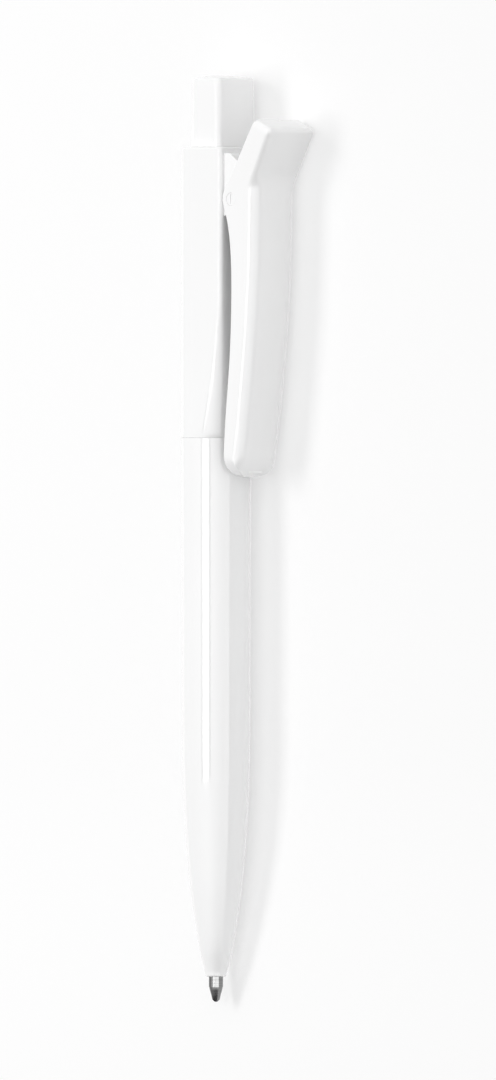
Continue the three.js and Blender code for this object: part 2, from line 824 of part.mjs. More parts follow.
function clipSpring() {
  return coil('clip_spring', {
    start: place(pivotAlong + clipSpringBehind, flatReach + pocketFloor + pressGap, 0),
    direction: new THREE.Vector3(0, -1, 0),
    length: pegReach - pocketFloor - 2 * pressGap,
    turns: clipSpringTurns,
    radius: clipSpringRadius,
    wire: clipWire,
  });
}

const pen = new THREE.Group();
pen.add(
  lowerBarrel(),
  upperBarrel(),
  camSleeve(),
  pushButton(),
  thrustTube(),
  rotorCam(),
  refillTube(),
  refillPlug(),
  inkColumn(),
  tipHolder(),
  refillTip(),
  writingBall(),
  returnSpring(),
  clipArm(),
  clipPin(),
  clipSpring(),
);

// The origin is under the middle of the pen, on the surface it lies on
const box = new THREE.Box3().setFromObject(pen, true);
const middle = box.getCenter(new THREE.Vector3());
pen.position.set(-middle.x, -middle.y, -box.min.z);

const inMetres = (point) => point.add(pen.position).toArray().map((value) => Number((value / 1000).toFixed(6)));
console.log('clip pin', inMetres(place(pivotAlong, pivotReach, 0)));
console.log('ball', inMetres(place(ballRadius, 0, 0)));
console.log('flat side', inMetres(place((seam + blendLength + rim) / 2, flatReach / 2, -barrelRadius)));
console.log('spring seats', inMetres(place(shoulderAlong, 0, 0)));
console.log('clip spring foot', inMetres(place(pivotAlong + clipSpringBehind, flatReach + pocketFloor, 0)));

export default pen;
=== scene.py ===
"""A white push-button ballpoint pen with a sprung lever clip, as a product photograph shows it.

Sizes are in millimetres until a mesh is made. "along" runs from the front of the ball to the button,
"reach" runs from the pen's axis towards the clip, and "side" runs across, upwards.
"""

import math

import bmesh
import bpy
from mathutils import Matrix, Vector


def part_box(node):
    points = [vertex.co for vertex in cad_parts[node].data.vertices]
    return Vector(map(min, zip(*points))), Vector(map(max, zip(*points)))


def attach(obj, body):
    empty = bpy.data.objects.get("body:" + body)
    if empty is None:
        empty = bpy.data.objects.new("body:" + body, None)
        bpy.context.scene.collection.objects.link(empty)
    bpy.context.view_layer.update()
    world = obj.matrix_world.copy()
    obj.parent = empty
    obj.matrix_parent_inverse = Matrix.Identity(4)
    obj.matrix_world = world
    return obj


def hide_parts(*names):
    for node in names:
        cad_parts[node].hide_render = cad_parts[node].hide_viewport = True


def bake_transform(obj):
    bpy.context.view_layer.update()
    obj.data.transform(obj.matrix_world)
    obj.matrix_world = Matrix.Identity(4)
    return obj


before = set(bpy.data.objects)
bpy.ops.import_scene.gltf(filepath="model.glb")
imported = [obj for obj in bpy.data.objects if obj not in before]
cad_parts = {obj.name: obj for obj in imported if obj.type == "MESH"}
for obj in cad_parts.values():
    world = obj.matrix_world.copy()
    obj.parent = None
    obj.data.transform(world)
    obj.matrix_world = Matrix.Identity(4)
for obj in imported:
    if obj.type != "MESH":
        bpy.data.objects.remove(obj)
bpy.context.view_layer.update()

MM = 0.001
MICRON = 0.000001

# Stations along the pen
NOSE_END = 4.0
SHOULDER = 39.3
SEAM = 88.3
RIM = 133.7
BUTTON_TOP = 145.0
SLEEVE_BACK = 121.1
SEAT_GAP = 0.02
CUT_OVERRUN = 1

# Lower barrel: [along, radius], nose end to seam
BARREL_CURVE = [
    (4.3, 1.68), (8.36, 2.585), (13.82, 3.461), (19.28, 4.181), (26.21, 4.761),
    (32.48, 5.101), (39.3, 5.3), (56.0, 5.361), (72.0, 5.42), (88.3, 5.48),
]
NOSE_HOLE = 1.32
NOSE_HOLE_ROUND = 0.135
NOSE_ROUND = 0.3
NOSE_ROUND_FLATNESS = 0.7
SEAM_ROUND = 0.05
BORE_RADIUS = 3.3
CHAMBER_RADIUS = 2.35
CHAMBER_START = 12.5
CHAMBER_END = 31.5
CHAMBER_TAPER = 1.8
SPIGOT_RADIUS = 4.0
SPIGOT_END = 95.0

# Upper barrel
BARREL_RADIUS = 5.48
FLAT_REACH = 6.05
FLAT_SIDE_HALF = 5.2
BARREL_CORNER = 0.85
BLEND_LENGTH = 21.6
RIM_ROUND = 0.3
RIM_LIP = 0.08
SOCKET_RADIUS = 4.3
SLIDE_GAP = 0.2

# Button
BUTTON_HALF = 4.37
BUTTON_FRONT = 4.84
BUTTON_BACK_CENTRE = 0.71
BUTTON_CORNER = 1.26
BUTTON_DRAFT = 0.14
BUTTON_CROWN = 0.45
BUTTON_EDGE = 0.35
BUTTON_WALL = 1.0
SKIRT_ALONG = 123.0

# Hinge bracket: its outline is [along, reach]
PIVOT_ALONG = 125.5
PIVOT_REACH = 8.06
BRACKET_HALF = 4.38
BRACKET_OUTLINE = [
    (122.9, 5.0), (122.9, 6.05), (123.6, 10.0), (130.6, 10.0), (132.7, 7.37), (132.7, 5.0),
]
BRACKET_ROUND = 0.12
BRACKET_SUNK = 0.1
POCKET_ALONG = 128.9
POCKET_RADIUS = 1.6
POCKET_FLOOR = 6.6
POCKET_CUT_REACH = 12

# Hinge pin
PIN_RADIUS = 1.0
PIN_GAP = 0.015
PIN_BORE_GAP = 0.05
PIN_HALF = 4.9
PIN_BEVEL = 0.03
PIN_CUT_HALF = 8
SLOT_WIDTH = 0.3
SLOT_LENGTH = 1.5
SLOT_DEPTH = 0.12

# Clip
CLIP_FILLET = 2.1
CLIP_EDGE = 0.2
CLIP_WALL = 1.3
CHEEK_WALL = 0.5
CLIP_LOW = 43.45
CLIP_LOW_EXTRA = 2.85
LOW_END = 3.9
LOW_END_CENTRE = 0.64
LOW_END_POWER = 2.3
LOW_END_OVERRUN = 1.0
LEVER_CORNER = 1.1
LEVER_FILLET = 0.85
LEVER_FRONT = 7.2
BEND_LENGTH = 3.2
CHANNEL_CORNER = 1.0
CHANNEL_EDGE = 0.12
CHANNEL_FILLET = 0.7
CHANNEL_LOW_WALL = 1.5
CHANNEL_LEVER_WALL = 3.3
PAD_START = 0.75
PAD_LENGTH = 2.4
PAD_WIDTH = 3.0
PAD_BOTTOM = 5.78
PAD_TOP = 8.6
PEG_REACH = 11.6
PEG_LENGTH = 1.2
NOTCH_WIDTH = 0.65
NOTCH_DEPTH = 0.35
NOTCH_TURN = math.radians(45)

# Clip from its low end to its lever's end, with along measured from the pivot:
# [outer along, outer reach, inner along, inner reach, half width]
CLIP_STATIONS = [
    (-40.6, 9.45, -40.6, 6.18, 4.72),
    (-34.4, 10.42, -34.4, 6.63, 4.78),
    (-26.5, 11.42, -26.5, 7.47, 4.85),
    (-20.3, 12.1, -20.3, 7.88, 4.86),
    (-14.0, 12.6, -14.0, 8.03, 4.87),
    (-9.4, 12.85, -9.4, 7.94, 4.9),
    (-6.0, 12.94, -6.0, 7.63, 4.91),
    (-3.4, 13.0, -3.4, 7.13, 4.91),
    (-1.7, 13.05, -1.6, 6.55, 4.91),
    (-0.6, 13.08, -0.5, 6.21, 4.91),
    (0.4, 13.1, 0.2, 6.15, 4.92),
    (1.5, 13.12, 1.0, 6.38, 4.93),
    (2.9, 13.2, 2.3, 7.1, 4.96),
    (3.9, 13.4, 4.0, 8.2, 5.0),
    (4.9, 13.85, 5.5, 9.2, 5.04),
    (6.6, 14.72, 7.6, 10.5, 5.12),
    (8.7, 15.82, 10.0, 11.98, 5.21),
    (10.9, 16.97, 12.45, 13.5, 5.3),
]

# Refill tip, as [along, radius] round its whole section, and ball
TIP_PROFILE = [
    (0.3, 0.49), (0.3, 0.54), (0.5, 0.62), (1.08, 0.74), (1.9, 0.98), (2.33, 1.06),
    (2.35, 1.12), (13.8, 1.12), (13.8, 0.75), (17.5, 0.75), (17.5, 0.3), (1.04, 0.3),
    (0.88, 0.42), (0.5, 0.54), (0.3, 0.49),
]
BALL_RADIUS = 0.5

# Clip spring
SPRING_WIRE = 0.35
SPRING_RADIUS = 1.12
SPRING_TURNS = 5
SPRING_START = 6.65
SPRING_LENGTH = 4.9

# Return spring
RETURN_WIRE = 0.4
RETURN_RADIUS = 1.85
RETURN_TURNS = 11
RETURN_START = 12.5
RETURN_END = 28.0

# Smoothness
ROUND_STEPS = 128
ROD_STEPS = 64
EDGE_STEPS = 4
LIP_STEPS = 3
RIM_STEPS = 5
BUTTON_EDGE_STEPS = 6
BUTTON_SIDE_STEPS = 9
CROWN_STEPS = 13
NOSE_STEPS = 60
SHANK_STEPS = 24
BLEND_STEPS = 60
ARCH_BACK_STEPS = 64
ARCH_CORNER_STEPS = 8
BEVEL_STEPS = 3
CLIP_CURVE_STEPS = 800
CLIP_SLOPE_SHARE = 0.004
CLIP_FRONT_STEPS = 12
CLIP_SIDE_STEPS = 150
CLIP_SIDE_SHARES = (0.33, 0.67)
LOW_END_STEPS = 32
LEVER_CORNER_STEPS = 14
LEVER_END_STEPS = 6
BALL_STEPS = 32
COIL_STEPS = 24
WIRE_SIDES = 10
SHARP_ANGLE = math.radians(30)

# The pen's axis in the frame, from the ball
ball_low, ball_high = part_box("writing_ball")
axis_start = Vector((ball_low.x, (ball_low.y + ball_high.y) / 2, (ball_low.z + ball_high.z) / 2))


def place(along, reach, side):
    """A point of the pen, in the frame's metres."""
    return axis_start + Vector((along, -reach, side)) * MM


# Meshes


def new_object(name, points, faces):
    mesh = bpy.data.meshes.new(name)
    mesh.from_pydata([tuple(p) for p in points], [], faces)
    shape = bmesh.new()
    shape.from_mesh(mesh)
    bmesh.ops.remove_doubles(shape, verts=shape.verts, dist=1e-7)
    bmesh.ops.dissolve_degenerate(shape, edges=shape.edges, dist=1e-8)
    bmesh.ops.recalc_face_normals(shape, faces=shape.faces)
    shape.to_mesh(mesh)
    shape.free()
    piece = bpy.data.objects.new(name, mesh)
    bpy.context.scene.collection.objects.link(piece)
    return piece


def ring_faces(ring_count, ring_size, closed=False):
    """Quads between rings of points. Closed joins the last ring to the first."""
    faces = []
    for ring in range(ring_count if closed else ring_count - 1):
        here = ring * ring_size
        there = ((ring + 1) % ring_count) * ring_size
        for i in range(ring_size):
            j = (i + 1) % ring_size
            faces.append((here + i, here + j, there + j, there + i))
    return faces


def loft(name, rings, closed=False, capped=True):
    size = len(rings[0])
    faces = ring_faces(len(rings), size, closed)
    if capped and not closed:
        faces.append(tuple(reversed(range(size))))
        faces.append(tuple(range((len(rings) - 1) * size, len(rings) * size)))
    return new_object(name, [p for ring in rings for p in ring], faces)


def full_turn(steps):
    """Angles of a full turn."""
    return [2 * math.pi * i / steps for i in range(steps)]


def quarter(steps):
    """Angles of a quarter turn."""
    return [math.pi / 2 * i / steps for i in range(steps + 1)]


def rounding(radius, steps=EDGE_STEPS):
    """Steps round an edge: how far each lies from the end face and from the side face."""
    return [(radius * (1 - math.sin(a)), radius * (1 - math.cos(a))) for a in quarter(steps)]


def turned(name, profile, steps=ROUND_STEPS, closed=True):
    """A turned shape about the pen's axis from [along, radius] pairs."""
    rings = []
    for along, radius in profile:
        rings.append([
            place(along, radius * math.cos(a), radius * math.sin(a)) for a in full_turn(steps)
        ])
    return loft(name, rings, closed=closed, capped=False)


def rod(name, start, end, radius):
    """A plain round rod between two points, as a cutter or a stem."""
    axis = (end - start).normalized()
    across = axis.orthogonal().normalized()
    other = axis.cross(across)
    rings = []
    for middle in (start, end):
        rings.append([
            middle + (across * math.cos(a) + other * math.sin(a)) * radius * MM
            for a in full_turn(ROD_STEPS)
        ])
    return loft(name, rings)


def pin_rod(name, radius):
    """A cutter along the hinge pin's axis."""
    return rod(name, place(PIVOT_ALONG, PIVOT_REACH, -PIN_CUT_HALF),
               place(PIVOT_ALONG, PIVOT_REACH, PIN_CUT_HALF), radius)


def pocket_rod(name, low, high):
    """A rod as wide as the clip spring's pocket, on its axis."""
    return rod(name, place(POCKET_ALONG, low, 0), place(POCKET_ALONG, high, 0), POCKET_RADIUS)


def block(name, low, high):
    """A box between two corners of [along, reach, side]."""
    a, b = place(*low), place(*high)
    points = [(x, y, z) for x in (a.x, b.x) for y in (a.y, b.y) for z in (a.z, b.z)]
    faces = [(0, 1, 3, 2), (4, 6, 7, 5), (0, 4, 5, 1), (2, 3, 7, 6), (0, 2, 6, 4), (1, 5, 7, 3)]
    return new_object(name, points, faces)


def merged(target, other, operation):
    """Joins or cuts target with other, and removes other."""
    modifier = target.modifiers.new("cut", "BOOLEAN")
    modifier.operation = operation
    modifier.solver = "EXACT"
    modifier.object = other
    bpy.context.view_layer.update()
    result = bpy.data.meshes.new_from_object(target.evaluated_get(bpy.context.evaluated_depsgraph_get()))
    target.modifiers.clear()
    target.data = result
    bpy.data.objects.remove(other)
    return target


def finish_piece(piece, body, material, replaced):
    piece.data.materials.clear()
    piece.data.materials.append(material)
    for face in piece.data.polygons:
        face.use_smooth = True
        face.material_index = 0
    piece.data.set_sharp_from_angle(angle=SHARP_ANGLE)
    normals = piece.modifiers.new("even normals", "WEIGHTED_NORMAL")
    normals.keep_sharp = True
    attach(piece, body)
    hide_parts(*replaced)


# Curves


def smooth(share):
    """A share from 0 to 1 with a soft start and end."""
    return share * share * (3 - 2 * share)


def spline(values, share):
    """Smooth curve through evenly counted values, at a share from 0 to 1."""
    where = share * (len(values) - 1)
    index = min(int(where), len(values) - 2)
    t = where - index
    p0 = values[max(index - 1, 0)]
    p1, p2 = values[index], values[index + 1]
    p3 = values[min(index + 2, len(values) - 1)]
    v0, v1 = (p2 - p0) / 2, (p3 - p1) / 2
    return (2 * p1 - 2 * p2 + v0 + v1) * t**3 + (3 * p2 - 3 * p1 - 2 * v0 - v1) * t**2 + v0 * t + p1


def height_at(points, x):
    """Smooth height through [x, height] points."""
    index = max(i for i in range(len(points) - 1) if points[i][0] <= x or i == 0)
    slopes = []
    for i in (index, index + 1):
        a, b = points[max(i - 1, 0)], points[min(i + 1, len(points) - 1)]
        slopes.append((b[1] - a[1]) / (b[0] - a[0]))
    (x0, y0), (x1, y1) = points[index], points[index + 1]
    h = x1 - x0
    t = (x - x0) / h
    return (
        (2 * t**3 - 3 * t**2 + 1) * y0
        + (t**3 - 2 * t**2 + t) * h * slopes[0]
        + (3 * t**2 - 2 * t**3) * y1
        + (t**3 - t**2) * h * slopes[1]
    )


# Lower barrel


def lower_barrel():
    seat = SEAM - SEAT_GAP / 2
    curve_start, nose = BARREL_CURVE[0]
    profile = [(NOSE_END + back, NOSE_HOLE + inset) for back, inset in rounding(NOSE_HOLE_ROUND)]
    profile += [
        (NOSE_END + inset * NOSE_ROUND_FLATNESS, nose - back) for back, inset in rounding(NOSE_ROUND)
    ]
    for i in range(NOSE_STEPS + 1):
        along = curve_start + (SHOULDER - curve_start) * i / NOSE_STEPS
        profile.append((along, height_at(BARREL_CURVE, along)))
    for i in range(1, SHANK_STEPS + 1):
        along = SHOULDER + (seat - SEAM_ROUND - SHOULDER) * i / SHANK_STEPS
        profile.append((along, height_at(BARREL_CURVE, along)))
    profile += [(seat - back, BARREL_RADIUS - inset) for back, inset in rounding(SEAM_ROUND)[1:]]
    profile += [
        (seat, SPIGOT_RADIUS), (SPIGOT_END, SPIGOT_RADIUS), (SPIGOT_END, BORE_RADIUS),
        (CHAMBER_END + CHAMBER_TAPER, BORE_RADIUS), (CHAMBER_END, CHAMBER_RADIUS),
        (CHAMBER_START, CHAMBER_RADIUS), (CHAMBER_START, NOSE_HOLE),
    ]
    return turned("lower_barrel_shell", profile)


# Upper barrel and button


def arch_ring(along, half, back_centre, front, corner, front_half=None, inset=0.0):
    """An arch-shaped section: round back, flat sides and a flat front with rounded corners."""
    width = half - inset
    front_width = (front_half or half) - inset
    corner_radius = max(corner - inset, corner / 4)
    front_corner = []
    for a in quarter(ARCH_CORNER_STEPS):
        reach = front - inset - corner_radius + corner_radius * math.cos(a)
        front_corner.append((reach, front_width - corner_radius + corner_radius * math.sin(a)))
    points = list(front_corner)
    for i in range(1, ARCH_BACK_STEPS):
        a = math.pi * (0.5 + i / ARCH_BACK_STEPS)
        points.append((back_centre + width * math.cos(a), width * math.sin(a)))
    points += [(reach, -side) for reach, side in reversed(front_corner)]
    return [place(along, reach, side) for reach, side in points]


def upper_section(along):
    share = min(max((SEAM + BLEND_LENGTH - along) / BLEND_LENGTH, 0.0), 1.0)
    return {
        "half": BARREL_RADIUS,
        "back_centre": 0.0,
        "front": FLAT_REACH + (BARREL_RADIUS - FLAT_REACH) * share,
        "corner": BARREL_CORNER + (BARREL_RADIUS - BARREL_CORNER) * share**1.5,
        "front_half": FLAT_SIDE_HALF + (BARREL_RADIUS - FLAT_SIDE_HALF) * share,
    }


def button_section(along):
    draft = BUTTON_DRAFT * max(along - RIM, 0) / (BUTTON_TOP - RIM)
    return {
        "half": BUTTON_HALF - draft,
        "back_centre": BUTTON_BACK_CENTRE,
        "front": BUTTON_FRONT - draft,
        "corner": BUTTON_CORNER,
    }


def bracket():
    points = [place(a, r, side) for side in (-BRACKET_HALF, BRACKET_HALF) for a, r in BRACKET_OUTLINE]
    count = len(BRACKET_OUTLINE)
    faces = ring_faces(2, count)
    faces += [tuple(reversed(range(count))), tuple(range(count, 2 * count))]
    piece = new_object("bracket", points, faces)
    shape = bmesh.new()
    shape.from_mesh(piece.data)
    foot = place(0, FLAT_REACH - BRACKET_SUNK, 0).y
    edges = [e for e in shape.edges if all(v.co.y < foot for v in e.verts)]
    bmesh.ops.bevel(shape, geom=edges, offset=BRACKET_ROUND * MM, segments=BEVEL_STEPS, profile=0.5,
                    affect="EDGES")
    shape.to_mesh(piece.data)
    shape.free()
    return piece


def upper_barrel():
    start = SEAM + SEAT_GAP / 2
    mouth = button_section(RIM)
    rings = []
    # These rings lead from the barrel back to the seam, so the edge folds over itself by SEAM_ROUND
    for back, inset in rounding(SEAM_ROUND):
        rings.append(arch_ring(start + back, **upper_section(SEAM), inset=inset))
    for i in range(1, BLEND_STEPS + 1):
        along = start + SEAM_ROUND + (BLEND_LENGTH - SEAM_ROUND) * i / BLEND_STEPS
        rings.append(arch_ring(along, **upper_section(along)))
    for back, inset in rounding(RIM_ROUND, RIM_STEPS):
        rings.append(arch_ring(RIM - back, **upper_section(RIM), inset=inset))
    for back, inset in rounding(RIM_LIP, LIP_STEPS):
        rings.append(arch_ring(RIM - inset, **mouth, inset=-SLIDE_GAP - back))
    rings.append(arch_ring(SLEEVE_BACK + SEAT_GAP, **mouth, inset=-SLIDE_GAP))
    socket = {"half": SOCKET_RADIUS, "back_centre": 0.0, "front": SOCKET_RADIUS, "corner": SOCKET_RADIUS}
    rings.append(arch_ring(SLEEVE_BACK, **socket))
    rings.append(arch_ring(start, **socket))
    piece = loft("upper_barrel_shell", rings, closed=True)
    merged(piece, bracket(), "UNION")
    merged(piece, pin_rod("bore", PIN_RADIUS + PIN_BORE_GAP), "DIFFERENCE")
    return merged(piece, pocket_rod("pocket", POCKET_FLOOR, POCKET_CUT_REACH), "DIFFERENCE")


def push_button():
    rings = [arch_ring(along, **button_section(RIM)) for along in (SKIRT_ALONG, RIM)]
    shoulder = BUTTON_TOP - BUTTON_CROWN
    for i in range(1, BUTTON_SIDE_STEPS):
        along = RIM + (shoulder - BUTTON_EDGE - RIM) * i / BUTTON_SIDE_STEPS
        rings.append(arch_ring(along, **button_section(along)))
    for back, inset in rounding(BUTTON_EDGE, BUTTON_EDGE_STEPS):
        rings.append(arch_ring(shoulder - back, **button_section(BUTTON_TOP), inset=inset))
    edge = rings[-1]
    middle = place(0, (BUTTON_FRONT - BUTTON_HALF + BUTTON_BACK_CENTRE) / 2, 0)
    for i in range(1, CROWN_STEPS):
        share = i / CROWN_STEPS
        crown = place(shoulder + BUTTON_CROWN * (1 - (1 - share) ** 2), 0, 0)
        rings.append([
            Vector((crown.x, p.y + (middle.y - p.y) * share, p.z + (middle.z - p.z) * share))
            for p in edge
        ])
    roof = shoulder - BUTTON_EDGE - BUTTON_WALL
    piece = loft("push_button_shell", rings)
    pocket = loft("pocket", [
        arch_ring(SKIRT_ALONG - CUT_OVERRUN, **button_section(RIM), inset=BUTTON_WALL),
        arch_ring(roof, **button_section(RIM), inset=BUTTON_WALL + BUTTON_DRAFT),
    ])
    return merged(piece, pocket, "DIFFERENCE")


# Clip


class ClipSide:
    """The clip's side view: sections from an outer to an inner point, by distance along its front."""

    def __init__(self):
        self.columns = list(zip(*CLIP_STATIONS))
        self.shares = [i / CLIP_CURVE_STEPS for i in range(CLIP_CURVE_STEPS + 1)]
        outers = [self.at_share(s)[0] for s in self.shares]
        self.lengths = [0.0]
        for a, b in zip(outers, outers[1:]):
            self.lengths.append(self.lengths[-1] + (b - a).length)
        self.length = self.lengths[-1] + CLIP_LOW_EXTRA

    def at_share(self, share):
        outer_along, outer_reach, inner_along, inner_reach, half = (spline(c, share) for c in self.columns)
        outer = Vector((PIVOT_ALONG + outer_along, outer_reach))
        inner = Vector((PIVOT_ALONG + inner_along, inner_reach))
        return outer, inner, half

    def section(self, distance):
        """Outer point, inner point and half width at a distance from the lower end."""
        along = distance - CLIP_LOW_EXTRA
        if along < 0:
            first, second = self.at_share(0.0), self.at_share(CLIP_SLOPE_SHARE)
            factor = along / (second[0] - first[0]).length
            return tuple(a + (b - a) * factor for a, b in zip(first, second))
        low, high = 0, len(self.lengths) - 1
        while high - low > 1:
            middle = (low + high) // 2
            low, high = (middle, high) if self.lengths[middle] <= along else (low, middle)
        t = (along - self.lengths[low]) / (self.lengths[high] - self.lengths[low])
        share = self.shares[low] + t * (self.shares[high] - self.shares[low])
        return self.at_share(min(share, 1.0))

    def half_width(self, distance):
        return self.section(distance)[2]

    def depth(self, distance):
        outer, inner, _ = self.section(max(distance, 0.0))
        return (inner - outer).length

    def point(self, distance, side, deep):
        outer, inner, _ = self.section(min(max(distance, -LOW_END_OVERRUN), self.length))
        if distance < LOW_END:
            centre = (inner - outer).length * LOW_END_CENTRE
            share = min(1 - distance / LOW_END, 1.0)
            deep = centre + (deep - centre) * (1 - share**LOW_END_POWER) ** (1 / LOW_END_POWER)
        spot = outer + (inner - outer).normalized() * deep
        return place(spot.x, spot.y, side)


def clip_plan(clip, wall, low_wall, lever_wall, corner):
    """Half of a plan outline of the clip, from the middle of its low end to the middle of its lever's end.

    Its rows are [distance, side, normal along, normal aside, part], and part is end, side or lever.
    """
    rows = []
    end_length = LOW_END - low_wall / 2
    start = low_wall + end_length
    half = clip.half_width(start) - wall
    power = 2 / LOW_END_POWER
    for a in quarter(LOW_END_STEPS):
        back, aside = math.cos(a) ** power, math.sin(a) ** power
        normal = Vector((-math.cos(a) / end_length, math.sin(a) / half)).normalized()
        rows.append((low_wall + end_length * (1 - back), half * aside, normal.x, normal.y, "end"))
    stop = clip.length - lever_wall - corner
    for i in range(1, CLIP_SIDE_STEPS):
        distance = start + (stop - start) * i / CLIP_SIDE_STEPS
        rows.append((distance, clip.half_width(distance) - wall, 0.0, 1.0, "side"))
    half = clip.half_width(stop) - wall
    for a in reversed(quarter(LEVER_CORNER_STEPS)):
        back, aside = math.cos(a), math.sin(a)
        rows.append((stop + corner * back, half - corner + corner * aside, back, aside, "lever"))
    for i in range(1, LEVER_END_STEPS + 1):
        side = (half - corner) * (1 - i / LEVER_END_STEPS)
        rows.append((clip.length - lever_wall, side, 1.0, 0.0, "lever"))
    return rows


def mirrored(rows):
    """The whole outline from its half: down one side and back up the other."""
    other = [(distance, -side, along, -aside, part) for distance, side, along, aside, part in rows[1:-1]]
    return rows + other[::-1]


def fillet_at(row, clip):
    """Radius of the front edge at a point of the outline."""
    distance, part = row[0], row[4]
    if part == "lever":
        return LEVER_FILLET
    share = min(max((clip.length - distance - LEVER_FRONT) / BEND_LENGTH, 0.0), 1.0)
    return LEVER_FILLET + (CLIP_FILLET - LEVER_FILLET) * smooth(share)


def side_fall(clip, side):
    """How far the rounded side of the front has fallen at a side place of the low end."""
    over = max(abs(side) - (clip.half_width(LOW_END) - CLIP_FILLET), 0.0)
    return CLIP_FILLET - math.sqrt(max(CLIP_FILLET**2 - over**2, 0.0))


def front_fall(row, clip):
    """Depth at which the clip's side wall starts at a point of the outline."""
    return side_fall(clip, row[1]) if row[4] == "end" else fillet_at(row, clip)


def front_ring(rows, clip, angle):
    """A ring of the front and its rounded sides, which the low end cuts straight."""
    points = []
    for row in rows:
        distance, side, along, aside, part = row
        fillet = fillet_at(row, clip)
        pull, depth = fillet * (1 - math.sin(angle)), fillet * (1 - math.cos(angle))
        if part == "end":
            limit = clip.half_width(LOW_END) - pull
            within = math.copysign(min(abs(side), limit), side)
            points.append(clip.point(distance, within, side_fall(clip, within)))
        else:
            points.append(clip.point(distance - along * pull, side - aside * pull, depth))
    return points


def clip_rings(clip):
    """Closed rings round the clip, from its front over the sides and into its channel."""
    outer = mirrored(clip_plan(clip, 0.0, 0.0, 0.0, LEVER_CORNER))
    inner = mirrored(clip_plan(clip, CHEEK_WALL, CHANNEL_LOW_WALL, CHANNEL_LEVER_WALL, CHANNEL_CORNER))

    def ring(rows, inset, deep):
        """A ring inside an outline, at the depth that deep gives for each row."""
        return [
            clip.point(row[0] - row[2] * inset, row[1] - row[3] * inset, deep(row)) for row in rows
        ]

    def depth(row):
        return clip.depth(row[0])

    rings = [front_ring(outer, clip, a) for a in quarter(CLIP_FRONT_STEPS)]
    for share in CLIP_SIDE_SHARES:
        rings.append(ring(outer, 0.0, lambda row: (
            front_fall(row, clip) * (1 - share) + (depth(row) - CLIP_EDGE) * share)))
    for back, inset in rounding(CLIP_EDGE):
        rings.append(ring(outer, inset, lambda row: depth(row) - back))
    for back, inset in rounding(CHANNEL_EDGE, LIP_STEPS):
        rings.append(ring(inner, -back, lambda row: depth(row) - inset))
    for back, inset in rounding(CHANNEL_FILLET):
        rings.append(ring(inner, inset, lambda row: CLIP_WALL + back))
    return rings


def ladder(offset, size):
    """Faces that fill a symmetrical outline, rung by rung."""
    half = size // 2
    faces = [(offset, offset + 1, offset + size - 1)]
    for i in range(1, half - 1):
        faces.append((offset + i, offset + i + 1, offset + size - i - 1, offset + size - i))
    faces.append((offset + half - 1, offset + half, offset + half + 1))
    return faces


def notch_cutter(clip):
    """A block on edge, at the back of the lever's end."""
    notch = block("notch", (-1, -1, -1), (1, 1, 1))
    inner = clip.section(clip.length)[1]
    turn = Matrix.Rotation(NOTCH_TURN, 4, "Z")
    scale = Matrix.Diagonal((NOTCH_DEPTH, NOTCH_DEPTH, NOTCH_WIDTH / 2, 1))
    from_axis = Matrix.Translation(-place(0, 0, 0))
    to_edge = Matrix.Translation(place(inner.x, inner.y, 0))
    notch.data.transform(to_edge @ turn @ scale @ from_axis)
    return notch


def clip_arm():
    clip = ClipSide()
    rings = clip_rings(clip)
    size = len(rings[0])
    faces = ring_faces(len(rings), size)
    faces += [tuple(reversed(face)) for face in ladder(0, size)]
    faces += ladder((len(rings) - 1) * size, size)
    piece = new_object("clip_shell", [p for ring in rings for p in ring], faces)
    merged(piece, pin_rod("hole", PIN_RADIUS + PIN_GAP), "DIFFERENCE")
    pad_start = PIVOT_ALONG - CLIP_LOW + PAD_START
    pad = block("pad", (pad_start, PAD_BOTTOM, -PAD_WIDTH / 2),
                (pad_start + PAD_LENGTH, PAD_TOP, PAD_WIDTH / 2))
    merged(piece, pad, "UNION")
    merged(piece, pocket_rod("peg", PEG_REACH, PEG_REACH + PEG_LENGTH), "UNION")
    return merged(piece, notch_cutter(clip), "DIFFERENCE")


def clip_pin():
    rows = [(0.0, PIN_HALF), (PIN_RADIUS - PIN_BEVEL, PIN_HALF), (PIN_RADIUS, PIN_HALF - PIN_BEVEL)]
    rows += [(radius, -side) for radius, side in reversed(rows)]
    rings = []
    for radius, side in rows:
        rings.append([
            place(PIVOT_ALONG + radius * math.cos(a), PIVOT_REACH + radius * math.sin(a), side)
            for a in full_turn(ROD_STEPS)
        ])
    piece = loft("clip_pin_turned", rings, capped=False)
    low = (PIVOT_ALONG - SLOT_LENGTH / 2, PIVOT_REACH - SLOT_WIDTH / 2)
    high = (PIVOT_ALONG + SLOT_LENGTH / 2, PIVOT_REACH + SLOT_WIDTH / 2)
    for sign in (-1, 1):
        outside, bottom = sign * (PIN_HALF + CUT_OVERRUN), sign * (PIN_HALF - SLOT_DEPTH)
        merged(piece, block("slot", (*low, outside), (*high, bottom)), "DIFFERENCE")
    return piece


# Ball and springs


def writing_ball():
    angles = [math.pi * i / BALL_STEPS for i in range(BALL_STEPS + 1)]
    profile = [(BALL_RADIUS * (1 - math.cos(a)), BALL_RADIUS * math.sin(a)) for a in angles]
    return turned("writing_ball_ground", profile, ROD_STEPS, closed=False)


def wound_wire(name, start, end, across, radius, wire, turns):
    """A wound spring from start to end, with its first turn at across."""
    axis = (end - start).normalized()
    across = across.normalized()
    other = axis.cross(across)
    rings = []
    for step in range(turns * COIL_STEPS + 1):
        angle = 2 * math.pi * step / COIL_STEPS
        outward = across * math.cos(angle) + other * math.sin(angle)
        middle = start + (end - start) * (step / (turns * COIL_STEPS))
        rings.append([
            middle + (outward * (radius + wire / 2 * math.cos(a)) + axis * wire / 2 * math.sin(a)) * MM
            for a in full_turn(WIRE_SIDES)
        ])
    return loft(name, rings)


